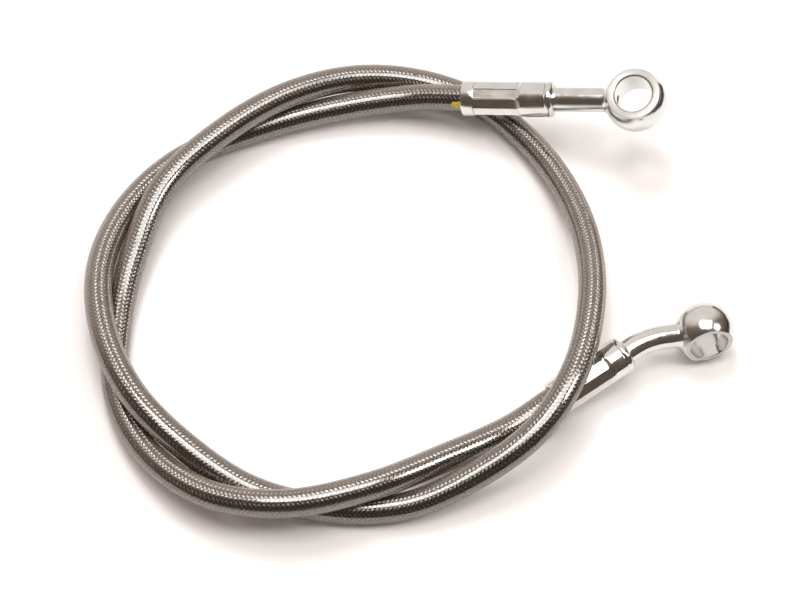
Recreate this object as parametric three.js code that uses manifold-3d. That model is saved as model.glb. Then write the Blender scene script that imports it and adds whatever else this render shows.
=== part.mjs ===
// Braided brake hose with a crimped banjo fitting at each end, lying in a loose double loop.
// Millimetres, +Z up, bench surface at Z = 0.
import * as THREE from 'three';
import { mergeVertices, toCreasedNormals } from 'three/addons/utils/BufferGeometryUtils.js';
import Module from 'manifold-3d';

const wasm = await Module();
wasm.setup();

// Hose section, from the fluid outwards
const LINER_BORE = 3.2;
const LINER_WALL = 0.7;
const BRAID_WALL = 0.6;
const JACKET_WALL = 0.55;
const LAYER_GAP = 0.15;

// Clearances between pieces
const FIT_GAP = 0.3;
const TAIL_GAP = 0.15;

// Hose route
const HOSE_STEPS = 60;
const HOSE_SIDES = 8;
const HOSE_INSERT = 15;
const HOSE_LEAD = 14;

// Ferrules
const COLLAR_WALL = 1.0;
const CAVITY_WALL = 0.7;
const JACKET_INSERT = 2.7;
const CRIMP_START = 3.4;
const CRIMP_LENGTH = 11.2;
const CRIMP_FLATS = 10;
const CRIMP_DEPTH = 0.55;
const CRIMP_RUNOUT = 5.5;
const MOUTH_CHAMFER = 0.4;
const LIP_RADIUS = 1.2;
const RECESS_DEPTH = 0.9;
const END_WALL = 3.0;

// Neck tubes
const FLANGE_RISE = 0.6;
const FLANGE_THICKNESS = 1.6;
const NECK_BORE = 3.0;
const BEND_RADIUS = 22;
const TAIL_BORE = 1.5;
const TAIL_SETBACK = 13.5;
const TAIL_TIP = 0.6;
const BARBS = 4;
const BARB_PITCH = 2.4;
const BARB_DEPTH = 0.2;
const BARB_TAPER_SHARE = 0.8;

// Banjo eyes
const BANJO_BORE = 10.2;
const SOCKET_DEPTH = 2.2;
const PORT_BORE = 2.6;
const BRAZE_WIDTH = 0.75;
const BRAZE_HEIGHT = 1.3;
const BRAZE_FOOT_SHARE = 0.35;
const BRAZE_WAIST_SHARE = 0.7;

// Facets
const LATHE_SIDES = 28;
const BALL_ARCS = 9;
const BEND_STEPS = 6;
const CREASE = Math.PI / 5;

// The two ends. Azimuth and rise aim the fitting away from the hose, and the rolls turn about its axis.
const STRAIGHT_END = {
  name: 'straight_end',
  mouth: new THREE.Vector3(-35.0, 45.8, 11.6),
  azimuth: -9.9,
  rise: 12.8,
  ferruleLength: 26,
  crimpRoll: 18.5,
  neckDiameter: 6.9,
  neckToBend: 2,
  bendAngle: 0,
  bendRoll: 0,
  bendToEye: 20.8,
  eyeRoll: 105.4,
  eyeThickness: 10.5,
  boreChamfer: 0.6,
  seatLand: 1.6,
  ballMargin: 1.4,
};
const BENT_END = {
  name: 'bent_end',
  mouth: new THREE.Vector3(-12.3, -46.7, 0),
  azimuth: 33.0,
  rise: 7.6,
  ferruleLength: 23,
  crimpRoll: 13,
  neckDiameter: 6.5,
  neckToBend: 1.9,
  bendAngle: 25.3,
  bendRoll: -149.3,
  bendToEye: 11.1,
  eyeRoll: -39.2,
  eyeThickness: 9.8,
  boreChamfer: 0.25,
  seatLand: 0.95,
  ballMargin: 1.8,
};

// Points of the hose's centre line between the straight leads, along the loop from the straight end
const LOOP = [
  [-68.8, 46.9, 5.6], [-93.0, 40.6, 4.0], [-114.8, 29.6, 4.1], [-128.3, 12.8, 5.9],
  [-134.2, -7.6, 9.0], [-132.0, -28.4, 11.4], [-123.5, -47.2, 11.6], [-109.0, -62.0, 9.1],
  [-91.1, -73.1, 5.7], [-70.3, -77.5, 4.0], [-50.5, -76.6, 4.5], [-33.0, -69.8, 8.5],
  [-17.8, -59.5, 13.1], [-7.5, -43.7, 15.8], [-2.3, -23.3, 14.6], [-2.2, -1.4, 10.7],
  [-7.5, 19.2, 6.6], [-17.4, 36.7, 4.1], [-30.6, 49.3, 4.0], [-47.0, 55.3, 5.6],
  [-65.4, 54.6, 8.8], [-84.6, 47.2, 11.3], [-102.8, 34.2, 11.6], [-117.9, 18.0, 10.1],
  [-125.3, -1.6, 7.0], [-129.0, -22.9, 4.2], [-128.0, -43.9, 4.0], [-118.4, -62.7, 5.9],
  [-102.5, -75.8, 9.4], [-82.6, -79.7, 11.8], [-61.2, -74.6, 10.9], [-40.8, -63.9, 6.7],
].map((point) => new THREE.Vector3(...point));

// Radii that follow from the sizes above
const linerRadius = LINER_BORE / 2 + LINER_WALL;
const braidBoreRadius = linerRadius + LAYER_GAP;
const braidRadius = braidBoreRadius + BRAID_WALL;
const jacketBoreRadius = braidRadius + LAYER_GAP;
const jacketRadius = jacketBoreRadius + JACKET_WALL;
const tailRadius = LINER_BORE / 2 * Math.cos(Math.PI / HOSE_SIDES) - TAIL_GAP;
const banjoRadius = BANJO_BORE / 2;

const STEEL = { color: 0xc9c4bb, roughness: 0.18, metalness: 1.0 };
const group = new THREE.Group();

function closedSolid(geometry) {
  // One closed body with shared vertices and its faces pointing out
  const bare = geometry.index ? geometry.toNonIndexed() : geometry;
  bare.deleteAttribute('normal');
  bare.deleteAttribute('uv');
  const merged = mergeVertices(bare, 1e-4);
  const position = merged.attributes.position;
  const index = merged.index.array;
  const [a, b, c] = [new THREE.Vector3(), new THREE.Vector3(), new THREE.Vector3()];
  const kept = [];
  let volume = 0;
  for (let i = 0; i < index.length; i += 3) {
    const [i0, i1, i2] = [index[i], index[i + 1], index[i + 2]];
    if (i0 === i1 || i1 === i2 || i2 === i0) continue;
    a.fromBufferAttribute(position, i0);
    b.fromBufferAttribute(position, i1);
    c.fromBufferAttribute(position, i2);
    volume += a.dot(b.cross(c));
    kept.push(i0, i1, i2);
  }
  if (volume < 0) kept.reverse();
  merged.setIndex(kept);
  return merged;
}

function toManifold(geometry) {
  const solid = closedSolid(geometry);
  return new wasm.Manifold(new wasm.Mesh({
    numProp: 3,
    vertProperties: new Float32Array(solid.attributes.position.array),
    triVerts: new Uint32Array(solid.index.array),
  }));
}

function fromManifold(manifold) {
  const mesh = manifold.getMesh();
  const geometry = new THREE.BufferGeometry();
  geometry.setAttribute('position', new THREE.Float32BufferAttribute(mesh.vertProperties, 3));
  geometry.setIndex(Array.from(mesh.triVerts));
  return geometry;
}

function addPart(parent, name, geometry, look) {
  const shown = toCreasedNormals(closedSolid(geometry), CREASE);
  const mesh = new THREE.Mesh(shown, new THREE.MeshStandardMaterial(look));
  mesh.name = name;
  parent.add(mesh);
  return mesh;
}

function turned(profile) {
  // A closed [radius, z] profile turned about Z
  const points = [...profile, profile[0]].map(([radius, z]) => new THREE.Vector2(radius, z));
  return new THREE.LatheGeometry(points, LATHE_SIDES).rotateX(Math.PI / 2);
}

function cylinder(radius, length) {
  // A plain cylinder about Z, centred on the origin
  return new THREE.CylinderGeometry(radius, radius, length, LATHE_SIDES).rotateX(Math.PI / 2);
}

function arc(centreX, centreY, radius, from, to, steps) {
  return Array.from({ length: steps + 1 }, (_, i) => {
    const angle = from + (to - from) * i / steps;
    return [centreX + radius * Math.cos(angle), centreY + radius * Math.sin(angle)];
  });
}

function fittingBasis(end) {
  // X level to the side, Y up, Z out along the fitting
  const azimuth = THREE.MathUtils.degToRad(end.azimuth);
  const rise = THREE.MathUtils.degToRad(end.rise);
  const axis = new THREE.Vector3(
    Math.cos(azimuth) * Math.cos(rise),
    Math.sin(azimuth) * Math.cos(rise),
    Math.sin(rise),
  );
  const side = new THREE.Vector3(-Math.sin(azimuth), Math.cos(azimuth), 0);
  const top = new THREE.Vector3().crossVectors(axis, side);
  return { axis, matrix: new THREE.Matrix4().makeBasis(side, top, axis) };
}

function fittingSizes(end) {
  const neckRadius = end.neckDiameter / 2;
  const flangeRadius = neckRadius + FLANGE_RISE;
  const cavityRadius = flangeRadius + FIT_GAP;
  const shellRadius = Math.max(jacketRadius + FIT_GAP + COLLAR_WALL, cavityRadius + CAVITY_WALL);
  const seatRadius = banjoRadius + end.boreChamfer + end.seatLand;
  const ballRadius = seatRadius + end.ballMargin;
  const bendAngle = THREE.MathUtils.degToRad(end.bendAngle);
  const bendLength = BEND_RADIUS * bendAngle;
  const wallStart = end.ferruleLength - RECESS_DEPTH - END_WALL;
  const bendStart = end.ferruleLength + end.neckToBend;
  const neckEnd = bendStart + bendLength + end.bendToEye - (ballRadius - SOCKET_DEPTH) - FIT_GAP;
  return {
    neckRadius, flangeRadius, cavityRadius, shellRadius, seatRadius, ballRadius,
    bendAngle, bendLength, wallStart, bendStart, neckEnd,
  };
}

function eyePlace(end, sizes) {
  // The eye's centre past the bend, in the fitting's turned frame
  const centre = new THREE.Vector3(
    BEND_RADIUS * (1 - Math.cos(sizes.bendAngle)),
    0,
    sizes.bendStart + BEND_RADIUS * Math.sin(sizes.bendAngle),
  );
  const heading = new THREE.Vector3(Math.sin(sizes.bendAngle), 0, Math.cos(sizes.bendAngle));
  return centre.addScaledVector(heading, end.bendToEye);
}

function ferrule(end, sizes) {
  const length = end.ferruleLength;
  const outer = sizes.shellRadius;
  const flatRadius = outer - CRIMP_DEPTH;
  const counterbore = jacketRadius + FIT_GAP;
  const braidPassage = braidRadius + FIT_GAP;
  const neckHole = sizes.neckRadius + FIT_GAP;
  const body = toManifold(turned([
    [counterbore, 0],
    [outer - MOUTH_CHAMFER, 0],
    [outer, MOUTH_CHAMFER],
    ...arc(outer - LIP_RADIUS, length - LIP_RADIUS, LIP_RADIUS, 0, Math.PI / 2, 4),
    [neckHole, length - RECESS_DEPTH],
    [neckHole, sizes.wallStart],
    [sizes.cavityRadius, sizes.wallStart],
    [sizes.cavityRadius, HOSE_INSERT + FIT_GAP],
    [braidPassage, HOSE_INSERT + FIT_GAP],
    [braidPassage, JACKET_INSERT + FIT_GAP],
    [counterbore, JACKET_INSERT + FIT_GAP],
  ]));
  // Each die leaves one long flat that ends in a rounded run-out
  const clear = outer + CRIMP_DEPTH;
  const runoutAngle = Math.acos(1 - (clear - flatRadius) / CRIMP_RUNOUT);
  const crimpEnd = CRIMP_START + CRIMP_LENGTH;
  const runoutCentre = flatRadius + CRIMP_RUNOUT;
  const runout = arc(crimpEnd, runoutCentre, CRIMP_RUNOUT, -Math.PI / 2, runoutAngle - Math.PI / 2, 4);
  const outline = [[CRIMP_START, clear], [CRIMP_START, flatRadius], ...runout];
  const die = new THREE.Shape(outline.map(([along, out]) => new THREE.Vector2(along, out)));
  const width = outer;
  const cut = new THREE.ExtrudeGeometry(die, { depth: width, bevelEnabled: false, steps: 1 });
  cut.translate(0, 0, -width / 2);
  cut.rotateY(-Math.PI / 2);
  const crimpRoll = THREE.MathUtils.degToRad(end.crimpRoll);
  let crimped = body;
  for (let i = 0; i < CRIMP_FLATS; i += 1) {
    const flat = cut.clone().rotateZ(crimpRoll + (i + 0.5) * 2 * Math.PI / CRIMP_FLATS);
    crimped = crimped.subtract(toManifold(flat));
  }
  return fromManifold(crimped);
}

function neck(end, sizes) {
  // Barbed tail in the liner, flange in the ferrule, then the neck, turned straight and bent afterwards
  const tailStart = HOSE_INSERT - TAIL_SETBACK;
  const tailEnd = HOSE_INSERT + FIT_GAP;
  const flangeEnd = sizes.wallStart - FIT_GAP;
  const flangeStart = flangeEnd - FLANGE_THICKNESS;
  const barbs = [];
  for (let i = 0; i < BARBS; i += 1) {
    const start = tailStart + TAIL_TIP + i * BARB_PITCH;
    barbs.push([tailRadius - BARB_DEPTH, start], [tailRadius, start + BARB_PITCH * BARB_TAPER_SHARE]);
  }
  const bend = Array.from({ length: BEND_STEPS + 1 }, (_, i) => (
    sizes.bendStart + sizes.bendLength * i / BEND_STEPS
  ));
  const bendStations = end.bendAngle > 0 ? bend : [];
  const profile = [
    [TAIL_BORE / 2, tailStart],
    [tailRadius - BARB_DEPTH, tailStart],
    ...barbs,
    [tailRadius, tailEnd],
    [sizes.neckRadius, tailEnd],
    [sizes.neckRadius, flangeStart],
    [sizes.flangeRadius, flangeStart],
    [sizes.flangeRadius, flangeEnd],
    [sizes.neckRadius, flangeEnd],
    ...bendStations.map((z) => [sizes.neckRadius, z]),
    [sizes.neckRadius, sizes.neckEnd],
    [NECK_BORE / 2, sizes.neckEnd],
    ...bendStations.toReversed().map((z) => [NECK_BORE / 2, z]),
    [NECK_BORE / 2, tailEnd + NECK_BORE / 2],
    [TAIL_BORE / 2, tailEnd],
  ];
  const geometry = turned(profile);
  bendTube(geometry, sizes.bendStart, BEND_RADIUS, sizes.bendAngle);
  return geometry;
}

function bendTube(geometry, start, radius, angle) {
  // Bends what lies past Z = start towards +X, and leaves the rest of the tube straight beyond the bend
  if (angle === 0) return;
  const position = geometry.attributes.position;
  for (let i = 0; i < position.count; i += 1) {
    const past = position.getZ(i) - start;
    if (past <= 0) continue;
    const turn = Math.min(past / radius, angle);
    const beyond = past - turn * radius;
    const reach = radius - position.getX(i);
    const x = radius - reach * Math.cos(turn) + beyond * Math.sin(turn);
    const z = start + reach * Math.sin(turn) + beyond * Math.cos(turn);
    position.setX(i, x);
    position.setZ(i, z);
  }
}

function banjoEye(end, sizes) {
  // Ball with two flat seats, turned about its bore, with the neck's socket and the fluid port drilled in
  const half = end.eyeThickness / 2;
  const seat = sizes.seatRadius;
  const ball = sizes.ballRadius;
  const chamfer = end.boreChamfer;
  const shoulder = Math.min(half, Math.sqrt(ball * ball - seat * seat));
  const shoulderAngle = Math.asin(shoulder / ball);
  const body = toManifold(turned([
    [banjoRadius, -half + chamfer],
    [banjoRadius + chamfer, -half],
    [seat, -half],
    ...arc(0, 0, ball, -shoulderAngle, shoulderAngle, BALL_ARCS),
    [seat, half],
    [banjoRadius + chamfer, half],
    [banjoRadius, half - chamfer],
  ]));
  const socketRadius = sizes.neckRadius + FIT_GAP;
  const socketFloor = ball - SOCKET_DEPTH;
  const socket = cylinder(socketRadius, ball).rotateX(Math.PI / 2).translate(0, -socketFloor - ball / 2, 0);
  const port = cylinder(PORT_BORE / 2, ball).rotateX(Math.PI / 2).translate(0, -ball / 2, 0);
  const drilled = body.subtract(toManifold(socket)).subtract(toManifold(port));
  // Bore along X, with the neck's socket towards -Z
  return fromManifold(drilled).rotateY(Math.PI / 2).rotateX(Math.PI / 2);
}

function brazeRing(sizes) {
  // Fillet round the neck where it enters the ball, measured back from the eye's centre
  const inner = sizes.neckRadius + FIT_GAP;
  const outer = inner + BRAZE_WIDTH;
  const surface = (radius) => Math.sqrt(sizes.ballRadius ** 2 - radius ** 2) + FIT_GAP;
  return turned([
    [inner, -surface(inner)],
    [outer, -surface(outer)],
    [outer, -surface(outer) - BRAZE_HEIGHT * BRAZE_FOOT_SHARE],
    [inner + BRAZE_WIDTH / 2, -surface(inner) - BRAZE_HEIGHT * BRAZE_WAIST_SHARE],
    [inner, -surface(inner) - BRAZE_HEIGHT],
  ]);
}

function addFitting(end) {
  const sizes = fittingSizes(end);
  const fitting = new THREE.Group();
  const { matrix } = fittingBasis(end);
  fitting.position.copy(end.mouth);
  fitting.quaternion.setFromRotationMatrix(matrix);
  group.add(fitting);
  const turnedFrame = new THREE.Group();
  turnedFrame.rotation.z = THREE.MathUtils.degToRad(end.bendRoll);
  fitting.add(turnedFrame);
  addPart(fitting, `${end.name}_ferrule`, ferrule(end, sizes), STEEL);
  addPart(turnedFrame, `${end.name}_neck`, neck(end, sizes), STEEL);
  const eyeFrame = new THREE.Group();
  eyeFrame.position.copy(eyePlace(end, sizes));
  eyeFrame.rotation.y = sizes.bendAngle;
  turnedFrame.add(eyeFrame);
  addPart(eyeFrame, `${end.name}_braze_ring`, brazeRing(sizes), STEEL);
  const eye = addPart(eyeFrame, `${end.name}_banjo_eye`, banjoEye(end, sizes), STEEL);
  eye.rotation.z = THREE.MathUtils.degToRad(end.eyeRoll);
}

function restOnBench(end) {
  // Height of the mouth at which the end's ball just touches the bench
  const sizes = fittingSizes(end);
  const centre = eyePlace(end, sizes);
  centre.applyAxisAngle(new THREE.Vector3(0, 0, 1), THREE.MathUtils.degToRad(end.bendRoll));
  centre.applyMatrix4(fittingBasis(end).matrix);
  end.mouth.z = sizes.ballRadius - centre.z;
}

function leadPoints(end) {
  // Hose end inside the ferrule, the ferrule's mouth, and the end of the straight lead outside it
  const { axis } = fittingBasis(end);
  const inside = end.mouth.clone().addScaledVector(axis, HOSE_INSERT);
  const outside = end.mouth.clone().addScaledVector(axis, -HOSE_LEAD);
  return [inside, end.mouth, outside];
}

function polygonPath(target, radius) {
  for (let i = 0; i < HOSE_SIDES; i += 1) {
    const angle = i * 2 * Math.PI / HOSE_SIDES;
    const [x, y] = [radius * Math.cos(angle), radius * Math.sin(angle)];
    if (i === 0) target.moveTo(x, y);
    else target.lineTo(x, y);
  }
  target.closePath();
  return target;
}

function hoseLayer(route, bore, outer) {
  const section = polygonPath(new THREE.Shape(), outer);
  section.holes.push(polygonPath(new THREE.Path(), bore));
  return new THREE.ExtrudeGeometry(section, { steps: HOSE_STEPS, extrudePath: route, bevelEnabled: false });
}

function trimJacket(geometry) {
  // The jacket stops inside each ferrule's mouth, so that the ferrule grips the braid
  let jacket = toManifold(geometry);
  for (const end of [STRAIGHT_END, BENT_END]) {
    const stripped = cylinder(jacketRadius + FIT_GAP, HOSE_INSERT);
    stripped.translate(0, 0, JACKET_INSERT + HOSE_INSERT / 2);
    const place = fittingBasis(end).matrix.setPosition(end.mouth);
    jacket = jacket.subtract(toManifold(stripped.applyMatrix4(place)));
  }
  return fromManifold(jacket);
}

function addHose() {
  const points = [
    ...leadPoints(STRAIGHT_END),
    ...LOOP,
    ...leadPoints(BENT_END).reverse(),
  ];
  const route = new THREE.CatmullRomCurve3(points, false, 'centripetal');
  const liner = hoseLayer(route, LINER_BORE / 2, linerRadius);
  const braid = hoseLayer(route, braidBoreRadius, braidRadius);
  const jacket = trimJacket(hoseLayer(route, jacketBoreRadius, jacketRadius));
  addPart(group, 'hose_liner', liner, { color: 0xf0eee8, roughness: 0.45, metalness: 0 });
  addPart(group, 'hose_braid', braid, { color: 0x8b8074, roughness: 0.35, metalness: 0.9 });
  addPart(group, 'hose_jacket', jacket, {
    color: 0xa99c8e, roughness: 0.12, metalness: 0, transparent: true, opacity: 0.35,
  });
}

restOnBench(BENT_END);
addFitting(STRAIGHT_END);
addFitting(BENT_END);
addHose();

export default group;
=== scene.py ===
import math

import bpy
import numpy as np
from mathutils import Matrix, Vector


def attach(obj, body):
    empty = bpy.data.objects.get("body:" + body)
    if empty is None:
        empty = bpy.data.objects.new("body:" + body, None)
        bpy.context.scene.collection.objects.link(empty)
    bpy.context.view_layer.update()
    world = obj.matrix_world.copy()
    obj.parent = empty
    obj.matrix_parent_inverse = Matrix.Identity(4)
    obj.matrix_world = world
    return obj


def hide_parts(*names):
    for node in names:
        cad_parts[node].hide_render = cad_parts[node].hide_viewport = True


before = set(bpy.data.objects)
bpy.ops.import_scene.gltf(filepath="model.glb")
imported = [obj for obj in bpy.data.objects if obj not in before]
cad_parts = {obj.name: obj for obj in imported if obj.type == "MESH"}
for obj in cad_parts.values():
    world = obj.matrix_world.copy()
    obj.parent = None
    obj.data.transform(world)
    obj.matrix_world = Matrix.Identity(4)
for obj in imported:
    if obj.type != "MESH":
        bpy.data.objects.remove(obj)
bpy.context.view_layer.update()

MM = 0.001
FULL_TURN = 2 * math.pi
scene = bpy.context.scene

# The camera, with its target in millimetres
CAMERA_TARGET = (-53.1, -13.0, 0)
CAMERA_ELEVATION = 60
CAMERA_DISTANCE = 0.655
CAMERA_LENS = 108

# The hose, in metres. The jacket is as in the solids and the braid's crowns lie just under it. The liner
# is wider than in the solids, so that it lies just under the braid. The layers start inside the ferrules.
JACKET_RADIUS = 3.75 * MM
BRAID_RADIUS = 3.64 * MM
LINER_RADIUS = 2.9 * MM
SLEEVE_TRIM = 12 * MM
LINER_TRIM = 6 * MM

# The hose's length inside a ferrule and its straight lead outside it, in millimetres
HOSE_INSERT = 15
HOSE_LEAD = 14

# The weave: carriers each way, advance per carrier along the hose, and the ribbon's own form
CARRIERS = 16
CARRIER_PITCH = 1.17 * MM
WEAVE_HEIGHT = 0.17 * MM
WEAVE_PLATEAU = 0.7
TWILL_REPEAT = 4
RIBBON_ARCH = 0.20 * MM
RIBBON_COVER = 0.96
RIBBON_POINTS = 5
STEPS_PER_CROSSING = 2
WIRES_PER_RIBBON = 5
BRAID_PIECES = 5

# Ferrules, in millimetres. The crimp starts this far from the mouth, the groove this far before the bead.
FERRULE_WALL = 1.3
FERRULE_SIDES = 240
SHELL_EDGE = 0.18
CRIMP_START = 3.4
CRIMP_LENGTH = 11.2
CRIMP_FLATS = 10
CRIMP_DEPTH = 0.55
CRIMP_RUNOUT = 5.5
CRIMP_FADE = 3.2
CRIMP_BLEND = 0.035
RIDGE_HEIGHT = 0.10
RIDGE_ANGLE = math.radians(1.6)
RIDGE_FADE = 1.2
BEAD_LENGTH = 1.35
BEAD_RISE = 0.04
BEAD_HOLLOW = 0.15
BEAD_TAIL = 0.66
GROOVE_START = 0.86
GROOVE_END = 0.74
GROOVE_DEPTH = 0.13
LIP_RADIUS = 1.2
LIP_EDGE = 0.12
RECESS_DEPTH = 0.9
CAVITY_RADIUS = 3.9
MOUTH_RADIUS = 4.15
MOUTH_CHAMFER = 0.35
END_WALL = 3.5
NECK_FIT = 0.02

# Neck tubes, in millimetres
NECK_BORE_RADIUS = 1.5
NECK_OVERLAP = 4
NECK_INTO_BALL = 0.8
ROOT_FILLET_LENGTH = 1.7
ROOT_FILLET_RISE = 0.30
BRAZE_WIDTH = 0.75

# Banjo eyes, in millimetres
BANJO_RADIUS = 5.1
PORT_RADIUS = 1.3
SEAT_EDGE = 0.12
TURNING_PITCH = 0.22

STRAIGHT_END = {
    "name": "straight_end", "mouth": (-35.0, 45.8, 11.6), "azimuth": -9.9, "rise": 12.8,
    "ferrule_length": 26, "neck_radius": 3.45, "neck_to_bend": 2, "bend_radius": 22,
    "bend_angle": 0, "bend_roll": 0, "bend_to_eye": 20.8, "eye_roll": 105.4, "crimp_roll": 18.5,
    "eye_thickness": 10.5, "bore_chamfer": 0.6, "seat_land": 1.6, "ball_margin": 1.4,
}
BENT_END = {
    "name": "bent_end", "mouth": (-12.3, -46.7, 5.705), "azimuth": 33.0, "rise": 7.6,
    "ferrule_length": 23, "neck_radius": 3.25, "neck_to_bend": 1.9, "bend_radius": 22,
    "bend_angle": 25.3, "bend_roll": -149.3, "bend_to_eye": 11.1, "eye_roll": -39.2, "crimp_roll": 13,
    "eye_thickness": 9.8, "bore_chamfer": 0.25, "seat_land": 0.95, "ball_margin": 1.8,
}

# Points of the hose's centre line between its straight leads, as in the solids
LOOP = [
    (-68.8, 46.9, 5.6), (-93.0, 40.6, 4.0), (-114.8, 29.6, 4.1), (-128.3, 12.8, 5.9),
    (-134.2, -7.6, 9.0), (-132.0, -28.4, 11.4), (-123.5, -47.2, 11.6), (-109.0, -62.0, 9.1),
    (-91.1, -73.1, 5.7), (-70.3, -77.5, 4.0), (-50.5, -76.6, 4.5), (-33.0, -69.8, 8.5),
    (-17.8, -59.5, 13.1), (-7.5, -43.7, 15.8), (-2.3, -23.3, 14.6), (-2.2, -1.4, 10.7),
    (-7.5, 19.2, 6.6), (-17.4, 36.7, 4.1), (-30.6, 49.3, 4.0), (-47.0, 55.3, 5.6),
    (-65.4, 54.6, 8.8), (-84.6, 47.2, 11.3), (-102.8, 34.2, 11.6), (-117.9, 18.0, 10.1),
    (-125.3, -1.6, 7.0), (-129.0, -22.9, 4.2), (-128.0, -43.9, 4.0), (-118.4, -62.7, 5.9),
    (-102.5, -75.8, 9.4), (-82.6, -79.7, 11.8), (-61.2, -74.6, 10.9), (-40.8, -63.9, 6.7),
]

# Lamps stand this far from what they aim at, in metres
LAMP_DISTANCE = 1.1


def add_camera():
    target = Vector(CAMERA_TARGET) * MM
    elevation = math.radians(CAMERA_ELEVATION)
    toward = Vector((0, -math.cos(elevation), math.sin(elevation)))
    camera = bpy.data.objects.new("camera", bpy.data.cameras.new("camera"))
    camera.location = target + CAMERA_DISTANCE * toward
    camera.rotation_euler = (target - camera.location).to_track_quat("-Z", "Y").to_euler()
    camera.data.lens = CAMERA_LENS
    camera.data.sensor_width = 36
    camera.data.clip_start = 0.01
    camera.data.clip_end = 20
    scene.collection.objects.link(camera)
    scene.camera = camera


def fitting_basis(end):
    # The fitting's own axes at the hose's mouth: X level to the side, Y up, Z out along the fitting
    azimuth, rise = math.radians(end["azimuth"]), math.radians(end["rise"])
    level = math.cos(rise)
    axis = Vector((math.cos(azimuth) * level, math.sin(azimuth) * level, math.sin(rise)))
    side = Vector((-math.sin(azimuth), math.cos(azimuth), 0))
    top = axis.cross(side)
    place = Matrix((side, top, axis)).transposed().to_4x4()
    place.translation = Vector(end["mouth"]) * MM
    return axis, place


def fitting_sizes(end):
    # Sizes that follow from an end's own, in millimetres and radians
    seat = BANJO_RADIUS + end["bore_chamfer"] + end["seat_land"]
    return {
        "shell": JACKET_RADIUS / MM + FERRULE_WALL,
        "seat": seat,
        "ball": seat + end["ball_margin"],
        "angle": math.radians(end["bend_angle"]),
        "bend_start": end["ferrule_length"] + end["neck_to_bend"],
    }


# The hose's route, its arc length and a frame that does not twist

def centripetal(points, samples):
    # Dense points of a centripetal Catmull-Rom curve through the given ones
    points = np.array(points, float)
    points = np.vstack([2 * points[0] - points[1], points, 2 * points[-1] - points[-2]])
    out = []
    for i in range(1, len(points) - 2):
        p0, p1, p2, p3 = points[i - 1:i + 3]
        d0, d1, d2 = (np.linalg.norm(b - a) ** 0.5 for a, b in ((p0, p1), (p1, p2), (p2, p3)))
        m1 = ((p1 - p0) / d0 - (p2 - p0) / (d0 + d1) + (p2 - p1) / d1) * d1
        m2 = ((p2 - p1) / d1 - (p3 - p1) / (d1 + d2) + (p3 - p2) / d2) * d1
        t = np.linspace(0, 1, samples, endpoint=False)[:, None]
        out.append(
            (2 * t**3 - 3 * t**2 + 1) * p1 + (t**3 - 2 * t**2 + t) * m1
            + (3 * t**2 - 2 * t**3) * p2 + (t**3 - t**2) * m2
        )
    out.append(points[-2][None])
    return np.vstack(out)


class Route:
    def __init__(self, points):
        fine = centripetal(points, 60)
        steps = np.linalg.norm(np.diff(fine, axis=0), axis=1)
        along = np.concatenate([[0], np.cumsum(steps)])
        self.length = along[-1]
        self.s = np.linspace(0, self.length, 4001)
        self.p = np.stack([np.interp(self.s, along, fine[:, k]) for k in range(3)], 1)
        self.t = np.gradient(self.p, self.s, axis=0)
        self.t /= np.linalg.norm(self.t, axis=1)[:, None]
        normal = np.cross(self.t[0], (0, 0, 1))
        normal /= np.linalg.norm(normal)
        normals = [normal]
        for i in range(1, len(self.s)):
            normal = normals[-1] - self.t[i] * np.dot(normals[-1], self.t[i])
            normals.append(normal / np.linalg.norm(normal))
        self.n = np.array(normals)
        self.b = np.cross(self.t, self.n)

    def at(self, s):
        # Point, normal and binormal at arc length s
        curves = (self.p, self.n, self.b)
        return [np.stack([np.interp(s, self.s, a[:, k]) for k in range(3)], -1) for a in curves]

    def place(self, s, angle, radius):
        # Points at an angle and a radius round the centre line
        p, n, b = self.at(s)
        radius = np.asarray(radius)[..., None]
        return p + radius * (np.cos(angle)[..., None] * n + np.sin(angle)[..., None] * b)


def route_points():
    ends = []
    for end in (STRAIGHT_END, BENT_END):
        axis, _ = fitting_basis(end)
        mouth = Vector(end["mouth"])
        ends.append([tuple(mouth + axis * HOSE_INSERT), tuple(mouth), tuple(mouth - axis * HOSE_LEAD)])
    return np.array(ends[0] + LOOP + ends[1][::-1]) * MM


def mesh_object(name, vertices, faces, material, place=None, smooth=True, uv=None, crown=None):
    mesh = bpy.data.meshes.new(name)
    vertices = np.asarray(vertices, np.float32)
    faces = np.asarray(faces, np.int32)
    mesh.vertices.add(len(vertices))
    mesh.vertices.foreach_set("co", vertices.ravel())
    sides = faces.shape[1]
    mesh.loops.add(faces.size)
    mesh.loops.foreach_set("vertex_index", faces.ravel())
    mesh.polygons.add(len(faces))
    mesh.polygons.foreach_set("loop_start", np.arange(0, faces.size, sides, dtype=np.int32))
    mesh.polygons.foreach_set("loop_total", np.full(len(faces), sides, np.int32))
    mesh.polygons.foreach_set("use_smooth", np.full(len(faces), smooth))
    if uv is not None:
        layer = mesh.uv_layers.new(name="along")
        layer.data.foreach_set("uv", np.asarray(uv, np.float32)[faces.ravel()].ravel())
    mesh.update(calc_edges=True)
    if crown is not None:
        attribute = mesh.attributes.new("crown", "FLOAT", "POINT")
        attribute.data.foreach_set("value", np.asarray(crown, np.float32))
    mesh.materials.append(material)
    piece = bpy.data.objects.new(name, mesh)
    scene.collection.objects.link(piece)
    if place is not None:
        piece.matrix_world = place
    return piece


def grid_faces(rows, columns, close_rows=False, close_columns=False):
    i = np.arange(rows if close_rows else rows - 1)
    j = np.arange(columns if close_columns else columns - 1)
    i, j = (a.ravel() for a in np.meshgrid(i, j, indexing="ij"))
    i2, j2 = (i + 1) % rows, (j + 1) % columns
    return np.stack([i * columns + j, i2 * columns + j, i2 * columns + j2, i * columns + j2], 1)


# Materials

def new_material(name):
    material = bpy.data.materials.new(name)
    material.use_nodes = True
    nodes = material.node_tree.nodes
    return material, nodes, material.node_tree.links, nodes["Principled BSDF"]


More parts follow.
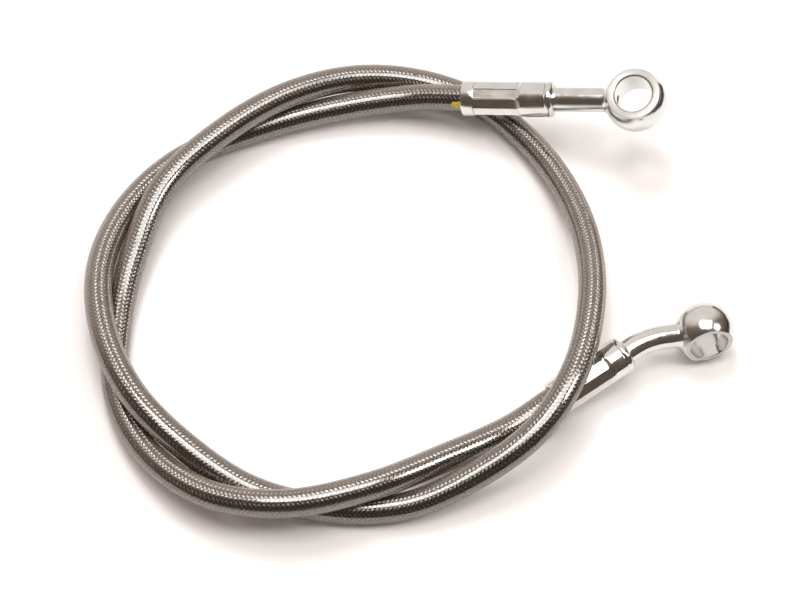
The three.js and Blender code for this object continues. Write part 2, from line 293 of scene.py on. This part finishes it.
def add(nodes, kind, **values):
    node = nodes.new(kind)
    for key, value in values.items():
        if key in node.inputs:
            node.inputs[key].default_value = value
        else:
            setattr(node, key, value)
    return node


def noise(nodes, links, scale, detail=3.0):
    texture = add(nodes, "ShaderNodeTexNoise", Scale=scale, Detail=detail)
    coordinates = add(nodes, "ShaderNodeTexCoord")
    links.new(coordinates.outputs["Object"], texture.inputs["Vector"])
    return texture.outputs["Fac"]


def ramp(nodes, links, source, stops):
    # Stops are (position, colour or grey)
    node = nodes.new("ShaderNodeValToRGB")
    elements = node.color_ramp.elements
    while len(elements) < len(stops):
        elements.new(0.5)
    for element, (position, colour) in zip(elements, stops):
        element.position = position
        element.color = (*colour, 1) if hasattr(colour, "__len__") else (colour, colour, colour, 1)
    links.new(source, node.inputs["Fac"])
    return node.outputs["Color"]


def mottle(nodes, links, scale, stops, socket):
    # Varies the socket between its stops with a noise of this scale
    links.new(ramp(nodes, links, noise(nodes, links, scale), stops), socket)


def bump(nodes, links, height, strength, distance, normal=None):
    node = add(nodes, "ShaderNodeBump", Strength=strength, Distance=distance)
    links.new(height, node.inputs["Height"])
    if normal is not None:
        links.new(normal, node.inputs["Normal"])
    return node.outputs["Normal"]


def plated_steel():
    # Bright plating, slightly uneven at three sizes
    material, nodes, links, shader = new_material("plated_steel")
    shader.inputs["Metallic"].default_value = 1
    colours = [(0.35, (0.73, 0.74, 0.73)), (0.65, (0.80, 0.81, 0.80))]
    mottle(nodes, links, 260, colours, shader.inputs["Base Color"])
    mottle(nodes, links, 420, [(0.3, 0.12), (0.7, 0.21)], shader.inputs["Roughness"])
    normal = None
    for scale, strength, distance in ((240, 0.35, 0.0002), (900, 0.25, 0.00006), (2600, 0.12, 0.00003)):
        normal = bump(nodes, links, noise(nodes, links, scale, 2.0), strength, distance, normal)
    links.new(normal, shader.inputs["Normal"])
    return material


def turned_steel():
    # The seats, with fine rings about the bore
    material, nodes, links, shader = new_material("turned_steel")
    shader.inputs["Metallic"].default_value = 1
    shader.inputs["Base Color"].default_value = (0.53, 0.53, 0.52, 1)
    mottle(nodes, links, 500, [(0.3, 0.26), (0.7, 0.36)], shader.inputs["Roughness"])
    coordinates = add(nodes, "ShaderNodeTexCoord")
    flat = add(nodes, "ShaderNodeVectorMath", operation="MULTIPLY")
    flat.inputs[1].default_value = (1, 1, 0)
    links.new(coordinates.outputs["Object"], flat.inputs[0])
    radius = add(nodes, "ShaderNodeVectorMath", operation="LENGTH")
    links.new(flat.outputs[0], radius.inputs[0])
    rings = add(nodes, "ShaderNodeMath", operation="MULTIPLY")
    rings.inputs[1].default_value = FULL_TURN / (TURNING_PITCH * MM)
    links.new(radius.outputs["Value"], rings.inputs[0])
    wave = add(nodes, "ShaderNodeMath", operation="SINE")
    links.new(rings.outputs[0], wave.inputs[0])
    links.new(bump(nodes, links, wave.outputs[0], 0.25, 0.00002), shader.inputs["Normal"])
    return material


def braid_wire():
    # Bright wires on the crowns of the weave and dark colour low between them, which is painted shade in
    # the gaps of the weave
    material, nodes, links, shader = new_material("braid_wire")
    shader.inputs["Metallic"].default_value = 1
    crown = add(nodes, "ShaderNodeAttribute", attribute_name="crown")
    # The base colour runs from near black low in the weave to bright on the crowns: painted shade in the
    # gaps
    stops = [(0.42, (0.04, 0.029, 0.022)), (0.64, (0.30, 0.245, 0.205)), (0.80, (1.0, 0.96, 0.92))]
    gap_shade = ramp(nodes, links, crown.outputs["Fac"], stops)
    tone = ramp(nodes, links, noise(nodes, links, 700), [(0.3, 0.80), (0.7, 1.0)])
    mix = add(nodes, "ShaderNodeMix", data_type="RGBA", blend_type="MULTIPLY")
    mix.inputs[0].default_value = 1
    links.new(gap_shade, mix.inputs[6])
    links.new(tone, mix.inputs[7])
    links.new(mix.outputs[2], shader.inputs["Base Color"])
    mottle(nodes, links, 1500, [(0.3, 0.31), (0.7, 0.38)], shader.inputs["Roughness"])
    shader.inputs["Anisotropic"].default_value = 0.9
    tangent = add(nodes, "ShaderNodeTangent", direction_type="UV_MAP", uv_map="along")
    links.new(tangent.outputs["Tangent"], shader.inputs["Tangent"])
    # Single wires side by side across the ribbon
    uv = add(nodes, "ShaderNodeUVMap", uv_map="along")
    split = nodes.new("ShaderNodeSeparateXYZ")
    links.new(uv.outputs["UV"], split.inputs[0])
    wires = add(nodes, "ShaderNodeMath", operation="MULTIPLY")
    wires.inputs[1].default_value = FULL_TURN * WIRES_PER_RIBBON
    links.new(split.outputs["X"], wires.inputs[0])
    wave = add(nodes, "ShaderNodeMath", operation="COSINE")
    links.new(wires.outputs[0], wave.inputs[0])
    links.new(bump(nodes, links, wave.outputs[0], 0.2, 0.00002), shader.inputs["Normal"])
    return material


def clear_jacket():
    # Nearly clear where it faces the eye, cloudy brown along the sides, and glossy all over. The brown veil
    # on the sides is partly haze and partly a painted reflection of the dim brown room in the braid under
    # it.
    material, nodes, links, shader = new_material("clear_jacket")
    colours = [(0.35, (0.235, 0.178, 0.143)), (0.65, (0.295, 0.228, 0.186))]
    mottle(nodes, links, 120, colours, shader.inputs["Base Color"])
    shader.inputs["Roughness"].default_value = 0.3
    shader.inputs["Specular IOR Level"].default_value = 0.0
    facing = add(nodes, "ShaderNodeLayerWeight", Blend=0.5)
    stops = [(0.0, 0.03), (0.16, 0.08), (0.36, 0.36), (0.56, 0.62), (0.85, 0.75)]
    links.new(ramp(nodes, links, facing.outputs["Facing"], stops), shader.inputs["Alpha"])
    gloss = add(nodes, "ShaderNodeBsdfGlossy", Roughness=0.12)
    wave = bump(nodes, links, noise(nodes, links, 320, 2.0), 0.10, 0.0001)
    links.new(wave, gloss.inputs["Normal"])
    fresnel = add(nodes, "ShaderNodeFresnel", IOR=2.5)
    layers = nodes.new("ShaderNodeMixShader")
    links.new(fresnel.outputs["Fac"], layers.inputs["Fac"])
    links.new(shader.outputs["BSDF"], layers.inputs[1])
    links.new(gloss.outputs["BSDF"], layers.inputs[2])
    links.new(layers.outputs["Shader"], nodes["Material Output"].inputs["Surface"])
    return material


def liner_plastic():
    material, nodes, links, shader = new_material("liner_plastic")
    # Greyish brown, darker than the liner's own off-white, so that what shows through gaps in the braid is
    # painted shade
    colours = [(0.3, (0.42, 0.40, 0.37)), (0.7, (0.5, 0.48, 0.45))]
    mottle(nodes, links, 300, colours, shader.inputs["Base Color"])
    shader.inputs["Roughness"].default_value = 0.5
    return material


def yellow_paint():
    material, nodes, links, shader = new_material("yellow_paint")
    colours = [(0.35, (0.62, 0.40, 0.02)), (0.6, (0.80, 0.58, 0.04))]
    mottle(nodes, links, 1400, colours, shader.inputs["Base Color"])
    shader.inputs["Roughness"].default_value = 0.45
    links.new(bump(nodes, links, noise(nodes, links, 2200), 0.4, 0.0001), shader.inputs["Normal"])
    return material


def floor_white():
    # A white bench that glows slightly for the camera alone, which leaves its shadows a little warm
    material, nodes, links, shader = new_material("floor_white")
    shader.inputs["Base Color"].default_value = (0.9, 0.882, 0.881, 1)
    shader.inputs["Roughness"].default_value = 0.8
    shader.inputs["Specular IOR Level"].default_value = 0.2
    path = nodes.new("ShaderNodeLightPath")
    glow = add(nodes, "ShaderNodeMath", operation="MULTIPLY")
    glow.inputs[1].default_value = 0.07
    links.new(path.outputs["Is Camera Ray"], glow.inputs[0])
    shader.inputs["Emission Color"].default_value = (1.0, 0.88, 0.85, 1)
    links.new(glow.outputs[0], shader.inputs["Emission Strength"])
    return material


# Hose pieces

def tube(name, route, s, radius, sides, material):
    angle = np.linspace(0, FULL_TURN, sides, endpoint=False)
    grid_s, grid_a = np.meshgrid(s, angle, indexing="ij")
    vertices = route.place(grid_s, grid_a, np.full(grid_s.shape, radius))
    faces = grid_faces(len(s), sides, close_columns=True)[:, ::-1]
    return mesh_object(name, vertices.reshape(-1, 3), faces, material)


def braid_piece(name, route, start, end, material):
    # The ribbons of both ways between two places of the route, each over two and under two of the others
    turn = FULL_TURN / (CARRIER_PITCH * CARRIERS)
    slope = math.atan(turn * BRAID_RADIUS)
    spacing = FULL_TURN * BRAID_RADIUS / CARRIERS * math.cos(slope)
    step = CARRIER_PITCH / 2 / STEPS_PER_CROSSING
    centre_s = np.arange(start, end + step / 2, step)
    across = np.linspace(-0.5, 0.5, RIBBON_POINTS)
    width = spacing * RIBBON_COVER * across
    arch = -RIBBON_ARCH * (2 * across) ** 4
    quads = grid_faces(len(centre_s), RIBBON_POINTS)[:, ::-1]
    vertices, faces, uv, crown = [], [], [], []
    count = 0
    for way in (1, -1):
        for carrier in range(CARRIERS):
            s = centre_s[:, None] - width * math.sin(slope) * way
            angle = FULL_TURN * carrier / CARRIERS + way * turn * centre_s[:, None]
            angle = angle + width * math.cos(slope) / BRAID_RADIUS
            crossed = carrier + (angle + way * turn * s) * CARRIERS / FULL_TURN
            swell = np.cos(FULL_TURN * (crossed - 0.5) / TWILL_REPEAT)
            height = way * WEAVE_HEIGHT * np.tanh(WEAVE_PLATEAU * swell) / math.tanh(WEAVE_PLATEAU)
            radius = BRAID_RADIUS - WEAVE_HEIGHT + height + arch
            # Height within the weave, from low to crown, which the braid material turns into painted shade
            # low down
            crown.append(((radius - BRAID_RADIUS) / (2 * WEAVE_HEIGHT + RIBBON_ARCH) + 1).ravel())
            s = np.clip(s, route.s[0], route.s[-1])
            vertices.append(route.place(s, angle, radius).reshape(-1, 3))
            faces.append(quads + count)
            sideways = np.broadcast_to(across + 0.5, s.shape)
            along = np.broadcast_to((centre_s / spacing)[:, None], s.shape)
            uv.append(np.stack([sideways, along], -1).reshape(-1, 2))
            count += s.size
    return mesh_object(
        name, np.vstack(vertices), np.vstack(faces), material,
        uv=np.vstack(uv), crown=np.concatenate(crown),
    )


def add_hose(materials):
    route = Route(route_points())
    jacket_s = np.linspace(SLEEVE_TRIM, route.length - SLEEVE_TRIM, 900)
    jacket = tube("clear_jacket", route, jacket_s, JACKET_RADIUS, 48, materials["jacket"])
    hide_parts("hose_jacket")
    pieces = []
    cuts = np.linspace(SLEEVE_TRIM, route.length - SLEEVE_TRIM, BRAID_PIECES + 1)
    for i in range(BRAID_PIECES):
        piece = braid_piece(f"braid_{i + 1}", route, cuts[i], cuts[i + 1], materials["braid"])
        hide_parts("hose_braid")
        pieces.append(piece)
    liner_s = np.linspace(LINER_TRIM, route.length - LINER_TRIM, 600)
    liner = tube("liner", route, liner_s, LINER_RADIUS, 24, materials["liner"])
    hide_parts("hose_liner")
    pieces.append(liner)
    for piece in [jacket, *pieces]:
        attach(piece, "root")
    return route


# Fittings

def lathe(name, profile, sides, material, place=None):
    # Turns a closed [radius, z] profile in millimetres about local Z
    profile = np.array(profile, float) * MM
    angle = np.linspace(0, FULL_TURN, sides, endpoint=False)
    x = profile[:, 0, None] * np.cos(angle)
    y = profile[:, 0, None] * np.sin(angle)
    z = np.broadcast_to(profile[:, 1, None], x.shape)
    faces = grid_faces(len(profile), sides, close_rows=True, close_columns=True)[:, ::-1]
    return mesh_object(name, np.stack([x, y, z], -1).reshape(-1, 3), faces, material, place)


def arc(cx, cz, radius, start, end, steps):
    angle = np.linspace(start, end, steps + 1)
    return [(cx + radius * math.cos(a), cz + radius * math.sin(a)) for a in angle]


def sharpen(piece, degrees):
    piece.data.set_sharp_from_angle(angle=math.radians(degrees))


def ferrule_outline(end, outer):
    # Closed [radius, z] outline of the shell before its flats are crimped
    length = end["ferrule_length"]
    crimp_end = CRIMP_START + CRIMP_LENGTH
    outline = arc(outer - SHELL_EDGE, SHELL_EDGE, SHELL_EDGE, -math.pi / 2, 0, 4)
    outline += arc(outer - SHELL_EDGE, CRIMP_START - SHELL_EDGE, SHELL_EDGE, 0, math.pi / 2, 4)
    z = [CRIMP_START, *np.linspace(CRIMP_START + 0.05, crimp_end, 16)]
    z += [*np.linspace(crimp_end, crimp_end + CRIMP_FADE, 34)[1:]]
    outline += [(outer, v) for v in z]
    # Groove and rolled bead
    bead, crest = length - BEAD_LENGTH, outer + BEAD_RISE
    tail = np.linspace(bead - BEAD_TAIL, bead, 8)
    outline += [(outer, bead - GROOVE_START), (outer - GROOVE_DEPTH, bead - GROOVE_END)]
    outline += [(crest - BEAD_HOLLOW * ((bead - v) / BEAD_TAIL) ** 2, v) for v in tail]
    lip = outer - LIP_RADIUS
    rounding = np.linspace(0, math.pi / 2, 15)[1:]
    outline += [(lip + (crest - lip) * math.cos(a), bead + BEAD_LENGTH * math.sin(a)) for a in rounding]
    # Recess round the neck, the neck's hole and the hollow that the hose fills
    neck, recess = end["neck_radius"] + NECK_FIT, length - RECESS_DEPTH
    outline += arc(lip, length - LIP_EDGE, LIP_EDGE, math.pi / 2, math.pi, 3)[1:]
    outline += [(lip - 0.35, length - 0.5), (neck + 0.25, recess), (neck, recess)]
    outline += [(neck, length - END_WALL), (CAVITY_RADIUS, length - END_WALL)]
    outline += [(CAVITY_RADIUS, MOUTH_CHAMFER), (MOUTH_RADIUS, 0.0)]
    return np.array(outline)


def ferrule(end, sizes, place, material):
    # Every flat is a plane, a soft minimum joins the planes, and a thin ridge stands on each joint
    outer = sizes["shell"]
    crimp_end = CRIMP_START + CRIMP_LENGTH
    outline = ferrule_outline(end, outer)
    angle = np.linspace(0, FULL_TURN, FERRULE_SIDES, endpoint=False)
    pitch = FULL_TURN / CRIMP_FLATS
    radius = np.repeat(outline[:, 0, None], FERRULE_SIDES, 1)
    z = np.repeat(outline[:, 1, None], FERRULE_SIDES, 1)
    crimp = (outline[:, 0] > outer - 0.001) & (outline[:, 1] >= CRIMP_START - 1e-6)
    crimp &= outline[:, 1] < crimp_end + CRIMP_FADE + 0.1
    rise = np.clip(outline[:, 1] - crimp_end, 0, CRIMP_RUNOUT)
    height = outer - CRIMP_DEPTH + CRIMP_RUNOUT - np.sqrt(CRIMP_RUNOUT**2 - rise**2)
    planes = []
    roll = math.radians(end["crimp_roll"])
    for k in range(CRIMP_FLATS):
        offset = np.cos(angle - roll - (k + 0.5) * pitch)
        planes.append(np.where(offset > 0.5, height[:, None] / np.maximum(offset, 0.5), 99.0))
    planes.append(np.full(radius.shape, outer))
    stack = np.stack(planes)
    low = stack.min(0)
    rounded = low - CRIMP_BLEND * np.log(np.exp(-(stack - low) / CRIMP_BLEND).sum(0))
    corner = (angle - roll + pitch / 2) % pitch - pitch / 2
    ridge = RIDGE_HEIGHT * np.exp(-(corner / RIDGE_ANGLE) ** 2) * (rise < RIDGE_FADE)[:, None]
    radius = np.where(crimp[:, None], np.minimum(rounded + ridge, outer), radius)
    vertices = np.stack([radius * np.cos(angle), radius * np.sin(angle), z], -1) * MM
    faces = grid_faces(len(outline), FERRULE_SIDES, close_rows=True, close_columns=True)[:, ::-1]
    piece = mesh_object(f"{end['name']}_ferrule_shell", vertices.reshape(-1, 3), faces, material, place)
    sharpen(piece, 40)
    return piece


def bend_tube(piece, end, sizes):
    # Bends a tube that stands along local Z towards local +X
    co = np.empty(len(piece.data.vertices) * 3, np.float32)
    piece.data.vertices.foreach_get("co", co)
    co = co.reshape(-1, 3) / MM
    bend, start = end["bend_radius"], sizes["bend_start"]
    past = co[:, 2] - start
    turn = np.clip(past / bend, 0, sizes["angle"])
    beyond = np.maximum(past - turn * bend, 0)
    arm = bend - co[:, 0]
    bent = past > 0
    x = bend - arm * np.cos(turn) + beyond * np.sin(turn)
    z = start + arm * np.sin(turn) + beyond * np.cos(turn)
    co[:, 0] = np.where(bent, x, co[:, 0])
    co[:, 2] = np.where(bent, z, co[:, 2])
    piece.data.vertices.foreach_set("co", (co * MM).ravel())
    piece.data.update()


def neck_tube(end, sizes, place, material):
    # Tube from inside the ferrule to inside the ball, with a concave fillet where it leaves the ferrule
    radius = end["neck_radius"]
    start = end["ferrule_length"] - NECK_OVERLAP
    reach = sizes["bend_start"] + end["bend_radius"] * sizes["angle"] + end["bend_to_eye"]
    stop = reach - math.sqrt(sizes["ball"] ** 2 - radius**2) + NECK_INTO_BALL
    stations = np.linspace(start, stop, 60)
    root = end["ferrule_length"] - RECESS_DEPTH + NECK_FIT
    foot = np.linspace(root, root + ROOT_FILLET_LENGTH, 12)
    outer = [(radius, start), (radius, root)]
    outer += [(radius + ROOT_FILLET_RISE * (1 - (v - root) / ROOT_FILLET_LENGTH) ** 2, v) for v in foot]
    outer += [(radius, v) for v in stations if v > foot[-1]]
    profile = outer + [(NECK_BORE_RADIUS, v) for v in stations[::-1]]
    piece = lathe(f"{end['name']}_neck_tube", profile, 96, material)
    if sizes["angle"]:
        bend_tube(piece, end, sizes)
    piece.matrix_world = place
    sharpen(piece, 40)
    return piece


def braze(end, sizes, place, material):
    # Concave fillet from the neck on to the ball, seen from the eye's centre
    neck, ball = end["neck_radius"], sizes["ball"]
    foot = neck + BRAZE_WIDTH
    top = (neck - 0.05, -math.sqrt(ball**2 - neck**2) - 1.0)
    low = (foot, -math.sqrt(ball**2 - foot**2) + 0.05)
    middle = (neck + 0.12, -math.sqrt(ball**2 - (neck + 0.12) ** 2) - 0.28)
    t = np.linspace(0, 1, 9)[:, None]
    curve = (1 - t) ** 2 * np.array(top) + 2 * t * (1 - t) * np.array(middle) + t**2 * np.array(low)
    profile = [tuple(p) for p in curve] + [(neck - 0.1, low[1] + 0.3)]
    return lathe(f"{end['name']}_braze_fillet", profile, 96, material, place)


def eye_profile(end, sizes):
    # Bore, chamfers, flat seats and ball, closed, with the bore along local Z
    half, seat, ball, chamfer = end["eye_thickness"] / 2, sizes["seat"], sizes["ball"], end["bore_chamfer"]
    shoulder = min(half, math.sqrt(ball**2 - seat**2))
    angle = math.asin(shoulder / ball)
    flat = seat - SEAT_EDGE
    bevel = arc(0, 0, 1, 0, math.pi / 2, 6)
    profile = [(BANJO_RADIUS, v) for v in np.linspace(half - chamfer, -half + chamfer, 13)]
    profile += [(BANJO_RADIUS + chamfer * (1 - c), -half + chamfer * (1 - d)) for c, d in bevel][1:]
    profile += [(flat, -half)]
    profile += arc(flat, -half + SEAT_EDGE, SEAT_EDGE, -math.pi / 2, -0.3, 4)[1:]
    profile += arc(0, 0, ball, -angle, angle, 48)
    profile += arc(flat, half - SEAT_EDGE, SEAT_EDGE, 0.3, math.pi / 2, 4)[:-1]
    profile += [(flat, half)]
    profile += [(BANJO_RADIUS + chamfer * (1 - c), half - chamfer * (1 - d)) for c, d in bevel[::-1]][:-1]
    return profile


def eye(end, sizes, place, materials):
    steel, turned, ball, seat = materials["steel"], materials["turned"], sizes["ball"], sizes["seat"]
    piece = lathe(f"{end['name']}_eye_ball", eye_profile(end, sizes), 144, steel)
    # The drill for the fluid port lies along local -Y, which is the neck's side
    deep = -ball * 1.2
    drill = lathe("drill", [(0.001, deep), (PORT_RADIUS, deep), (PORT_RADIUS, 0), (0.001, 0)], 40, steel)
    drill.matrix_world = Matrix.Rotation(-math.pi / 2, 4, "X")
    cut = piece.modifiers.new("port", "BOOLEAN")
    cut.operation = "DIFFERENCE"
    cut.solver = "EXACT"
    cut.object = drill
    bpy.context.view_layer.update()
    mesh = bpy.data.meshes.new_from_object(piece.evaluated_get(bpy.context.evaluated_depsgraph_get()))
    piece.modifiers.clear()
    piece.data = mesh
    bpy.data.objects.remove(drill)
    mesh.materials.clear()
    mesh.materials.append(steel)
    mesh.materials.append(turned)
    # Both seats and the chamfers inside them are turned, the rest is plated
    for polygon in mesh.polygons:
        radius = math.hypot(polygon.center.x, polygon.center.y) / MM
        polygon.material_index = 1 if abs(polygon.normal.z) > 0.3 and radius < seat else 0
        polygon.use_smooth = True
    # Turns local Z, the bore, to the eye frame's X, and local -Y back towards the neck
    turn = Matrix.Rotation(math.pi / 2, 4, "X") @ Matrix.Rotation(math.pi / 2, 4, "Y")
    piece.matrix_world = place @ turn
    sharpen(piece, 28)
    return piece


def add_fitting(end, materials):
    sizes = fitting_sizes(end)
    _, place = fitting_basis(end)
    turned = place @ Matrix.Rotation(math.radians(end["bend_roll"]), 4, "Z")
    shell = ferrule(end, sizes, place, materials["steel"])
    neck = neck_tube(end, sizes, turned, materials["steel"])
    bend, angle = end["bend_radius"], sizes["angle"]
    centre = Vector((bend * (1 - math.cos(angle)), 0, sizes["bend_start"] + bend * math.sin(angle)))
    centre += Vector((math.sin(angle), 0, math.cos(angle))) * end["bend_to_eye"]
    eye_place = turned @ Matrix.Translation(centre * MM) @ Matrix.Rotation(angle, 4, "Y")
    fillet = braze(end, sizes, eye_place, materials["steel"])
    eye_frame = eye_place @ Matrix.Rotation(math.radians(end["eye_roll"]), 4, "Z")
    ball = eye(end, sizes, eye_frame, materials)
    for piece, node in ((shell, "ferrule"), (neck, "neck"), (fillet, "braze_ring"), (ball, "banjo_eye")):
        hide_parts(f"{end['name']}_{node}")
        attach(piece, "root")


def add_paint(route, material):
    # A dab of paint on the hose beside the straight end's ferrule, domed and ragged at its edge
    toward = Vector((0.06, -0.90, 0.43)).normalized()
    middle = HOSE_INSERT * MM + 0.9 * MM
    half_length, half_width, lift, dome = 1.75 * MM, 1.15 * MM, 0.01 * MM, 0.13 * MM
    _, n, b = (np.asarray(v) for v in route.at(np.array([middle])))
    roll = math.atan2(float(np.dot(b[0], toward)), float(np.dot(n[0], toward)))
    rings, sides = 9, 48
    around = np.linspace(0, FULL_TURN, sides, endpoint=False)
    r, a = np.meshgrid(np.linspace(0.02, 1, rings), around, indexing="ij")
    ragged = 1 + 0.16 * np.sin(3 * a + 0.7) + 0.09 * np.sin(7 * a + 2.0) + 0.05 * np.sin(13 * a)
    s = middle + half_length * r * ragged * np.cos(a)
    angle = roll + half_width / JACKET_RADIUS * r * ragged * np.sin(a)
    height = JACKET_RADIUS + lift + dome * (1 - r**2) ** 0.6
    vertices = route.place(s, angle, height).reshape(-1, 3)
    faces = grid_faces(rings, sides, close_columns=True)[:, ::-1]
    piece = mesh_object("paint_dab", vertices, faces, material)
    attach(piece, "root")


# Floor, lamps and world

def add_floor(material):
    size = 6.0
    corners = [(-size, -size, 0), (size, -size, 0), (size, size, 0), (-size, size, 0)]
    floor = mesh_object("floor", corners, [(0, 1, 2, 3)], material, smooth=False)


def add_lamp(name, direction, size, power, colour=(1, 1, 1), aim=(-0.05, 0, 0)):
    lamp = bpy.data.objects.new(name, bpy.data.lights.new(name, "AREA"))
    lamp.data.shape = "RECTANGLE"
    lamp.data.size, lamp.data.size_y = size
    lamp.data.energy = power
    lamp.data.color = colour
    lamp.location = Vector(aim) + Vector(direction).normalized() * LAMP_DISTANCE
    lamp.rotation_euler = (Vector(aim) - lamp.location).to_track_quat("-Z", "Y").to_euler()
    scene.collection.objects.link(lamp)
    return lamp


def add_flags():
    # A low dark edge to the right of the bench that only polished metal sees, so its reflection has an edge
    points, radius, height = 36, 0.160, 0.024
    angle = np.linspace(math.radians(-70), math.radians(40), points)
    x, y = -0.055 + radius * np.cos(angle), -0.012 + radius * np.sin(angle)
    rim = np.stack([x, y, np.zeros(points)], 1)
    vertices = np.stack([rim, rim + (0, 0, height)], 0).reshape(-1, 3)
    material, nodes, links, shader = new_material("dark_cloth")
    shader.inputs["Roughness"].default_value = 0.9
    colours = [(0.3, (0.030, 0.024, 0.020)), (0.7, (0.045, 0.037, 0.031))]
    mottle(nodes, links, 60, colours, shader.inputs["Base Color"])
    band = mesh_object("flags", vertices, grid_faces(2, points), material)
    band.visible_camera = False
    band.visible_diffuse = False
    band.visible_shadow = False
    band.visible_transmission = False


def add_world():
    # A dark brown room whose wall grows pale and beige behind the bench, to the left and above
    world = bpy.data.worlds.new("studio")
    scene.world = world
    world.use_nodes = True
    nodes, links = world.node_tree.nodes, world.node_tree.links
    coordinates = nodes.new("ShaderNodeTexCoord")
    wall = add(nodes, "ShaderNodeVectorMath", operation="DOT_PRODUCT")
    wall.inputs[1].default_value = Vector((-0.24, 0.82, 0.50)).normalized()
    links.new(coordinates.outputs["Generated"], wall.inputs[0])
    colour = ramp(nodes, links, wall.outputs["Value"], [
        (0.0, (0.115, 0.086, 0.069)), (0.40, (0.18, 0.140, 0.115)), (0.54, (0.38, 0.31, 0.262)),
        (0.64, (0.68, 0.59, 0.53)), (0.78, (0.84, 0.76, 0.70)), (1.0, (0.86, 0.79, 0.735)),
    ])
    links.new(colour, nodes["Background"].inputs["Color"])
    nodes["Background"].inputs["Strength"].default_value = 1.0


def add_light():
    # The key lamp, from behind, is left out of reflections. The top lamp leans slightly to the front.
    key = add_lamp("key", (-0.13, 0.41, 0.90), (0.34, 0.34), 4.4, (0.97, 0.99, 1.0))
    key.visible_glossy = False
    add_lamp("top", (0, -0.03, 1), (0.86, 0.56), 6.9, (1.0, 0.97, 0.945), (0.012, -0.016, 0))
    add_lamp("right", (0.69, -0.12, 0.71), (0.27, 0.27), 2.6)
    add_flags()
    add_world()


scene.view_settings.view_transform = "Standard"
add_camera()
MATERIALS = {
    "steel": plated_steel(), "turned": turned_steel(), "braid": braid_wire(),
    "jacket": clear_jacket(), "liner": liner_plastic(), "paint": yellow_paint(),
}
ROUTE = add_hose(MATERIALS)
add_paint(ROUTE, MATERIALS["paint"])
add_fitting(STRAIGHT_END, MATERIALS)
add_fitting(BENT_END, MATERIALS)
add_floor(floor_white())
add_light()
